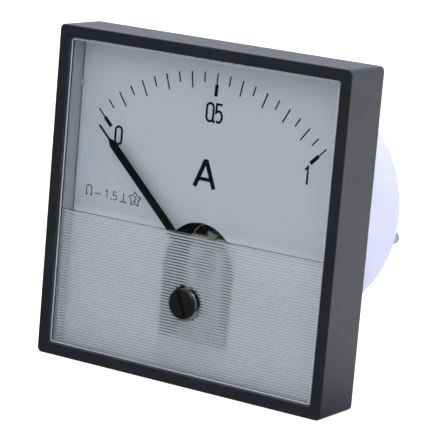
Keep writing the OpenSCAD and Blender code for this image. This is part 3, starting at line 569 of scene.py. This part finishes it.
def makeWindowGlint(s, window):
    # painted glint: a low rounded pale ring on the front face that stands in for the light the window's
    # polished edge shows all round;
    # across and rise are the shares of its width and height at each corner of its profile
    front = windowPlanes(window)[0]
    halfX, halfZ = (s["right"] - s["left"]) / 2, (s["top"] - s["low"]) / 2
    halves = halfX - s["width"] * np.array(s["across"])
    depths = front - s["height"] * np.array(s["rise"])
    x, z = squareRing(halves, np.full(len(halves), frameSettings["openingRadius"]))
    x = x + s["right"] - halfX
    z = z + np.sign(z) * (halfZ - halfX) + s["top"] - halfZ
    points = ringPoints(x, depths, z)
    faces = gridFaces(len(halves), x.shape[1], wrapRows=True, wrapColumns=True)
    edge = makePiece("windowGlint", points, faces, "edgeGlintPale", "case")


crestHighlightSettings = {"width": 0.36, "gap": 0.01, "half": 32.8, "thickness": 0.02, "bossGap": 0.1}


def makeRibHighlights(s, window):
    # painted highlight: a fine pale line along the crest of every rib, standing in for the light the ribs
    # catch, left out behind the screw's boss
    inside, centre = windowPlanes(window)[1:]
    near, rise = inside + window["ribHeight"] + s["gap"], s["width"] / 2
    points, faces = [], []
    for k in range(ribCount(window)):
        middle = window["ribTop"] - (k + 0.5) * window["ribPitch"]
        # half the boss's width at this height: sqrt(radius^2 - height^2)
        chord = math.sqrt(max(window["bossRadius"] ** 2 - (middle - centre[1]) ** 2, 0.0))
        reach = chord + s["bossGap"]
        spans = [(-s["half"], -reach), (reach, s["half"])] if chord > 0 else [(-s["half"], s["half"])]
        for start, end in spans:
            faces += [[n + len(points) for n in face] for face in blockFaces]
            points += [[x, y, middle + z] for y in (near, near + s["thickness"])
                       for x, z in ((start, -rise), (end, -rise), (end, rise), (start, rise))]
    highlightLines = makePiece("ribHighlights", points, faces, "crestHighlightWhite", "case")


makeWindow(windowSettings)
makeGrooveShade(shadeSettings, windowSettings)
makeWindowGlint(edgeGlintSettings, windowSettings)
makeRibHighlights(crestHighlightSettings, windowSettings)
print("window made")


movementSettings = {
    "bridgeHalf": 4.4, "bridgeTop": -5.7, "bridgeEnd": -26.0, "footTop": -22.8,
    "carrierHalf": 9.6, "carrierEnd": -26.1,
    "coverHalf": 8.8, "coverTop": -26.4, "coverInset": 0.12, "coverThickness": 0.6,
    "cutHalf": 9.0, "cutTop": 0.0, "cutLow": -32.0, "cutPast": 1.0,
}


def makeMovement(s):
    # the bridge is narrow above its foot, and its top leaves room for the zero lever's tab
    low, high = (np.array(corner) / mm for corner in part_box("front_bridge"))
    wide, across = s["cutHalf"], (-s["cutHalf"], s["cutHalf"])
    outlines = [box((-wide, -s["bridgeHalf"]), (s["footTop"], s["cutTop"])),
                box((s["bridgeHalf"], wide), (s["footTop"], s["cutTop"])),
                box(across, (s["cutLow"], s["bridgeEnd"])), box(across, (s["bridgeTop"], s["cutTop"]))]
    steps = [("DIFFERENCE", prism(outline, 1, low[1] - s["cutPast"], high[1] + s["cutPast"]))
             for outline in outlines]
    bridge = combine(copyOf("front_bridge"), steps, "bridgeBar", "bridgeSatin", "case")
    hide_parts("front_bridge")
    # the carrier stops short between its two feet
    low, high = (np.array(corner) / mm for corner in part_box("movement_carrier"))
    notch = prism(box((-s["carrierHalf"], s["carrierHalf"]), (s["cutLow"], s["carrierEnd"])), 1,
                  low[1] - s["cutPast"], high[1] + s["cutPast"])
    carrier = combine(copyOf("movement_carrier"), [("DIFFERENCE", notch)], "carrierMoulding",
                      "carrierBlack", "case")
    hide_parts("movement_carrier")
    # a white cover closes the dial's opening below the carrier
    low, high = (np.array(corner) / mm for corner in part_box("dial_plate"))
    face = low[1] + s["coverInset"]
    cover = combine(prism(box((-s["coverHalf"], s["coverHalf"]), (low[2], s["coverTop"])), 1, face,
                          face + s["coverThickness"]), [], "dialCover", "coverPaint", "case")


makeMovement(movementSettings)


gapShadeSettings = {"outside": 33.44, "inside": 33.2, "corner": 0.3, "sunk": 0.2, "thickness": 0.3}


def makeDialGapShade(s):
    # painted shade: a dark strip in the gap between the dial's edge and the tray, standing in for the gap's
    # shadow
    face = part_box("dial_plate")[0][1] / mm + s["sunk"]
    halves = np.array([s["outside"], s["outside"], s["inside"], s["inside"]])
    depths = face + s["thickness"] * np.array([1.0, 0.0, 0.0, 1.0])
    x, z = squareRing(halves, np.full(len(halves), s["corner"]))
    points = ringPoints(x, depths, z)
    faces = gridFaces(len(halves), x.shape[1], wrapRows=True, wrapColumns=True)
    gapShadeStrip = makePiece("dialGapShade", points, faces, "gapShadeDark", "case")


makeDialGapShade(gapShadeSettings)
print("movement made")


inkSettings = {
    "thickness": 0.04, "numberStroke": 0.5, "letterStroke": 1.0, "symbolStroke": 0.19,
    "crease": 20.0, "sharpest": 0.45,
}


def arc(centre, radii, start, end, steps=12):
    # centre + (rx cos a, rz sin a) from start to end degrees
    a = np.radians(np.linspace(start, end, steps + 1))
    return np.stack([centre[0] + radii[0] * np.cos(a), centre[1] + radii[1] * np.sin(a)], axis=1)


def roundZero(width, height):
    # an upright oval with straight sides: two half circles joined
    r, rise = width / 2, height / 2 - width / 2
    return np.concatenate([arc((0, rise), (r, r), 0, 180), arc((0, -rise), (r, r), 180, 360)])


def figureFive(width, height):
    # top bar, left stem, then the bowl, which is an arc that ends at the lower left
    w, h = width / 2, height / 2
    barShare, stemTop, stemFoot, stemHeight = 0.92, 0.86, 0.94, 0.53 * height
    bowlHeight, bowlReach, bowlShift = 0.31 * height, 0.54 * width, -0.04 * width
    bowlTurn, bowlSteps = 128, 18
    bowl = arc((bowlShift, bowlHeight - h), (bowlReach, bowlHeight), bowlTurn, -bowlTurn, bowlSteps)
    return np.concatenate([[[w * barShare, h], [-w * stemTop, h], [-w * stemFoot, -h + stemHeight]], bowl])


def figureTwo(width, height):
    # the hook on top, then a stroke down to the left and the foot
    w, h = width / 2, height / 2
    hookHeight, hookStart, hookEnd, hookSteps = 0.28 * height, 165, -25, 10
    hook = arc((0, h - hookHeight), (w, hookHeight), hookStart, hookEnd, hookSteps)
    return np.concatenate([hook, [[-w, -h], [w, -h]]])


def figureOne(width, height):
    # the short flag, then the stem
    flagFoot = 0.28 * height
    return np.array([[-width, flagFoot], [0, height / 2], [0, -height / 2]], float)


def starOutline(outer, inner):
    # five points at the outer radius, the first on top, and five at the inner one between them
    corner = np.arange(10)
    a = np.radians(90 + 36 * corner)
    r = np.where(corner % 2 == 0, outer, inner)
    return np.stack([r * np.cos(a), r * np.sin(a)], axis=1)


def strokeSolid(path, width, closed, depthFront, depthBack):
    # every point moves to both sides of the path, along the mean of its two normals, by half the width
    # over the turn's flatness, which has a least value, and the ribbon gets a front and a back
    path = np.asarray(path, float)
    before = np.roll(path, 1, axis=0) if closed else np.vstack([2 * path[0] - path[1], path[:-1]])
    after = np.roll(path, -1, axis=0) if closed else np.vstack([path[1:], 2 * path[-1] - path[-2]])
    come = (path - before) / np.linalg.norm(path - before, axis=1, keepdims=True)
    go = (after - path) / np.linalg.norm(after - path, axis=1, keepdims=True)
    side = np.stack([-(come + go)[:, 1], (come + go)[:, 0]], axis=1)
    side /= np.linalg.norm(side, axis=1, keepdims=True)
    flatness = np.abs(side[:, 0] * -come[:, 1] + side[:, 1] * come[:, 0])[:, None]
    flatness = np.maximum(flatness, inkSettings["sharpest"])
    left, right = path + side * width / 2 / flatness, path - side * width / 2 / flatness
    ringed = np.stack([
        np.insert(left, 1, depthFront, axis=1), np.insert(right, 1, depthFront, axis=1),
        np.insert(right, 1, depthBack, axis=1), np.insert(left, 1, depthBack, axis=1)], axis=1)
    faces = gridFaces(len(path), 4, wrapRows=closed, wrapColumns=True).tolist()
    if not closed:
        last = 4 * (len(path) - 1)
        faces += [[3, 2, 1, 0], [last, last + 1, last + 2, last + 3]]
    return ringed.reshape(-1, 3), faces


def inkPiece(name, strokes, centre):
    # strokes are (path, width, closed), drawn about the centre on the dial's face
    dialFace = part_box("dial_plate")[0][1] / mm
    points, faces, count = [], [], 0
    for path, width, closed in strokes:
        solid, solidFaces = strokeSolid(np.asarray(path) + np.asarray(centre), width, closed,
                                        dialFace - inkSettings["thickness"], dialFace)
        points.append(solid)
        faces += [[k + count for k in face] for face in solidFaces]
        count += len(solid)
    piece = makePiece(name, np.concatenate(points), faces, "inkBlack", "case", inkSettings["crease"])


# places on the dial are (right, up) from the pointer's axis
letterSettings = {
    "zeroAt": (-22.86, 13.17), "halfAt": (-0.22, 21.66), "dotAt": (0.86, 19.78), "fiveAt": (2.0, 21.66),
    "oneAt": (24.5, 12.22), "letterAt": (-0.18, 8.35), "numberHeight": 3.82, "numberWidth": 1.66,
    "fiveShare": 0.92, "flagWidth": 0.62, "dot": ((0.1, 0.3), (-0.12, -0.3)),
    "letterHeight": 5.71, "letterWidth": 4.85, "apexHalf": 0.2, "apexDrop": 0.1,
    "barHalf": 0.62, "barDrop": 0.36, "barStroke": 0.8,
}


def makeDialLetters(s):
    stroke, tall, wide = inkSettings["numberStroke"], s["numberHeight"], s["numberWidth"]
    for name, path, closed, place in (
            ("numberZero", roundZero(wide, tall), True, s["zeroAt"]),
            ("numberHalfZero", roundZero(wide, tall), True, s["halfAt"]),
            ("numberHalfDot", s["dot"], False, s["dotAt"]),
            ("numberHalfFive", figureFive(wide * s["fiveShare"], tall), False, s["fiveAt"]),
            ("numberOne", figureOne(s["flagWidth"], tall), False, s["oneAt"])):
        inkPiece(name, [(path, stroke, closed)], place)
    # the unit: two legs that meet in a flat top, and the bar between them
    w, h = s["letterWidth"] / 2, s["letterHeight"] / 2
    bold, top, bar = inkSettings["letterStroke"], h - s["apexDrop"], -h * s["barDrop"]
    legs = [[-w, -h], [-s["apexHalf"], top], [s["apexHalf"], top], [w, -h]]
    crossBar = [[-w * s["barHalf"], bar], [w * s["barHalf"], bar]]
    inkPiece("unitLetter", [(legs, bold, False), (crossBar, bold * s["barStroke"], False)], s["letterAt"])


symbolSettings = {
    "magnetAt": (-29.45, 0.15), "dashAt": (-27.05, -0.32), "oneAt": (-24.7, -0.05), "dotAt": (-23.55, -0.875),
    "fiveAt": (-22.6, -0.1), "uprightAt": (-20.33, -0.12), "starAt": (-17.4, 0.02), "twoAt": (-17.4, 0.0),
    "magnetHalf": 0.68, "magnetRise": 0.35, "magnetRound": 0.75, "magnetFoot": -1.0,
    "footFrom": 0.38, "footTo": 0.84, "footStroke": 1.6, "dashHalf": 0.82,
    "height": 1.75, "flagWidth": 0.42, "dot": ((0.06, 0.18), (-0.1, -0.22)), "dotStroke": 0.22,
    "fiveWidth": 0.95, "uprightHalf": 0.92, "uprightFoot": -0.95, "uprightTop": 0.9,
    "starOuter": 1.6, "starInner": 0.98, "twoWidth": 0.66, "twoHeight": 1.05,
}


def makeDialSymbols(s):
    thin, half, foot = inkSettings["symbolStroke"], s["magnetHalf"], s["magnetFoot"]
    arch = arc((0, s["magnetRise"]), (half, s["magnetRound"]), 0, 180)
    magnet = np.concatenate([[[half, foot]], arch, [[-half, foot]]])
    feet = [([[s["footFrom"], foot], [s["footTo"], foot]], thin * s["footStroke"], False),
            ([[-s["footTo"], foot], [-s["footFrom"], foot]], thin * s["footStroke"], False)]
    inkPiece("symbolMagnet", [(magnet, thin, False)] + feet, s["magnetAt"])
    inkPiece("symbolDirect", [([[-s["dashHalf"], 0], [s["dashHalf"], 0]], thin, False)], s["dashAt"])
    inkPiece("symbolClass", [(figureOne(s["flagWidth"], s["height"]), thin, False)], s["oneAt"])
    inkPiece("symbolClassDot", [(s["dot"], s["dotStroke"], False)], s["dotAt"])
    inkPiece("symbolClassFive", [(figureFive(s["fiveWidth"], s["height"]), thin, False)], s["fiveAt"])
    low, half = s["uprightFoot"], s["uprightHalf"]
    inkPiece("symbolUpright", [([[0, low], [0, s["uprightTop"]]], thin, False),
                               ([[-half, low], [half, low]], thin, False)], s["uprightAt"])
    inkPiece("symbolStar", [(starOutline(s["starOuter"], s["starInner"]), thin, True)], s["starAt"])
    inkPiece("symbolStarTwo", [(figureTwo(s["twoWidth"], s["twoHeight"]), thin, False)], s["twoAt"])


makeDialLetters(letterSettings)
makeDialSymbols(symbolSettings)
print("lettering made")


# a lamp is (name, place, size, power, tint), and shines at the origin
studioSettings = {
    "floorRings": (0.0, 0.2, 0.6, 1.5, 3.0), "floorSteps": 64, "floorColour": (0.82, 0.82, 0.83),
    "floorGlow": 0.62, "mirrorFrom": -0.03, "mirrorTo": 0.06, "mirrorColour": (0.95, 0.97, 1.0),
    "glossColour": (0.78, 0.80, 0.91), "ambient": 0.55, "ambientColour": (0.97, 0.98, 1.0),
    "darkSide": 0.04, "darkFrom": -0.85, "darkTo": 0.2,
    "lamps": [
        ("rightBox", (0.75, 0.15, 0.4), 0.55, 3.0, (0.96, 0.98, 1.0)),
        ("topBox", (-0.15, 0.1, 0.8), 0.6, 2.4, (0.98, 0.99, 1.0)),
        ("frontKey", (0.3, -0.75, 0.8), 0.4, 5.0, (0.98, 0.99, 1.0)),
    ],
}


def glossOrGlass(tree, path):
    # rays off a shiny surface, or through glass
    return addNode(tree, "ShaderNodeMath", {0: path.outputs["Is Glossy Ray"],
                                            1: path.outputs["Is Transmission Ray"]}, operation="MAXIMUM")


# diffuse bounces are counted in whole numbers, so more than half a bounce is one or more
halfBounce = 0.5


def seenClear(tree, path):
    # the camera's own rays, and rays through glass that have left a matt surface behind it
    matt = addNode(tree, "ShaderNodeMath", {0: path.outputs["Diffuse Depth"], 1: halfBounce},
                   operation="GREATER_THAN")
    behind = addNode(tree, "ShaderNodeMath", {0: path.outputs["Is Transmission Ray"],
                                              1: matt.outputs["Value"]}, operation="MULTIPLY")
    return addNode(tree, "ShaderNodeMath", {0: path.outputs["Is Camera Ray"], 1: behind.outputs["Value"]},
                   operation="MAXIMUM")


def dimFront(tree, depth, start, end, darkest):
    # darkest in front of the meter, full behind it
    return addNode(tree, "ShaderNodeMapRange", {"Value": depth, "From Min": start, "From Max": end,
                                                "To Min": darkest, "To Max": 1.0},
                   interpolation_type="SMOOTHSTEP").outputs["Result"]


def makeWorld(s):
    # the camera and what is behind the glass see white; gloss and the glass itself see
    # a pale backdrop behind the meter and a dim room in front of it
    world = bpy.data.worlds.new("studio")
    bpy.context.scene.world = world
    world.use_nodes = True
    tree = world.node_tree
    tree.nodes.clear()
    path = addNode(tree, "ShaderNodeLightPath")
    way = addNode(tree, "ShaderNodeSeparateXYZ",
                  {"Vector": addNode(tree, "ShaderNodeTexCoord").outputs["Generated"]})
    dim = dimFront(tree, way.outputs["Y"], s["darkFrom"], s["darkTo"], s["darkSide"])
    clear = seenClear(tree, path)
    seen = addNode(tree, "ShaderNodeMath", {0: clear.outputs["Value"], 1: dim},
                   operation="MAXIMUM")
    bright = addNode(tree, "ShaderNodeBackground", {"Color": colour(1.0, 1.0, 1.0),
                                                    "Strength": seen.outputs["Value"]})
    plain = addNode(tree, "ShaderNodeBackground", {"Color": colour(*s["ambientColour"]),
                                                   "Strength": s["ambient"]})
    shown = addNode(tree, "ShaderNodeMath", {0: path.outputs["Is Camera Ray"],
                                             1: glossOrGlass(tree, path).outputs["Value"]},
                    operation="MAXIMUM")
    sheen = addNode(tree, "ShaderNodeBackground", {"Color": colour(*s["glossColour"]),
                                                   "Strength": dim})
    gloss = addNode(tree, "ShaderNodeMath", {0: path.outputs["Is Glossy Ray"], 1: clear.outputs["Value"]},
                    operation="SUBTRACT", use_clamp=True)
    either = addNode(tree, "ShaderNodeMixShader", {0: gloss.outputs["Value"], 1: bright.outputs["Background"],
                                                   2: sheen.outputs["Background"]})
    mixed = addNode(tree, "ShaderNodeMixShader", {0: shown.outputs["Value"], 1: plain.outputs["Background"],
                                                  2: either.outputs["Shader"]})
    addNode(tree, "ShaderNodeOutputWorld", {"Surface": mixed.outputs["Shader"]})


def makeFloor(s):
    # a flat round grid: radius times (cos a, sin a), at the lowest point of the meter;
    # matt for light, a little lifted for the camera, and a pale glow for gloss and glass
    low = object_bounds()[0]
    angles = np.linspace(0, 2 * np.pi, s["floorSteps"], endpoint=False)
    radii = np.array(s["floorRings"]) / mm
    x, y = radii[:, None] * np.cos(angles), radii[:, None] * np.sin(angles)
    z = np.full(x.shape, low.z / mm)
    points = np.stack([x, y, z], axis=-1).reshape(-1, 3)
    material = bpy.data.materials.new("floorPale")
    material.use_nodes = True
    tree = material.node_tree
    tree.nodes.clear()
    path = addNode(tree, "ShaderNodeLightPath")
    lit = addNode(tree, "ShaderNodeBsdfDiffuse", {"Color": colour(*s["floorColour"])})
    dim = dimFront(tree, placeAxes(tree)["Y"], s["mirrorFrom"], s["mirrorTo"], s["darkSide"])
    through = addNode(tree, "ShaderNodeMath", {0: seenClear(tree, path).outputs["Value"], 1: dim},
                      operation="MAXIMUM")
    mirrored = addNode(tree, "ShaderNodeEmission", {"Color": colour(*s["mirrorColour"]),
                                                    "Strength": through.outputs["Value"]})
    glow = addNode(tree, "ShaderNodeEmission", {"Strength": s["floorGlow"]})
    lifted = addNode(tree, "ShaderNodeAddShader", {0: lit.outputs["BSDF"], 1: glow.outputs["Emission"]})
    glossy = glossOrGlass(tree, path)
    first = addNode(tree, "ShaderNodeMixShader", {0: path.outputs["Is Camera Ray"], 1: lit.outputs["BSDF"],
                                                  2: lifted.outputs["Shader"]})
    second = addNode(tree, "ShaderNodeMixShader", {0: glossy.outputs["Value"], 1: first.outputs["Shader"],
                                                   2: mirrored.outputs["Emission"]})
    addNode(tree, "ShaderNodeOutputMaterial", {"Surface": second.outputs["Shader"]})
    finishes["floorPale"] = material
    faces = gridFaces(len(radii), s["floorSteps"], wrapColumns=True)
    floor = makePiece("floor", points, faces, "floorPale", None)
    floor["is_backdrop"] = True


def makeLamps(s):
    for name, place, size, power, tint in s["lamps"]:
        data = bpy.data.lights.new(name, "AREA")
        data.shape, data.size, data.energy, data.color = "SQUARE", size, power, tint
        lamp = newObject(name, data)
        lamp.location = place
        lamp.rotation_mode = "QUATERNION"
        lamp.rotation_quaternion = (-Vector(place)).to_track_quat("-Z", "Y")


makeWorld(studioSettings)
makeFloor(studioSettings)
makeLamps(studioSettings)
bpy.context.scene.view_settings.view_transform = "Standard"
print("studio made")
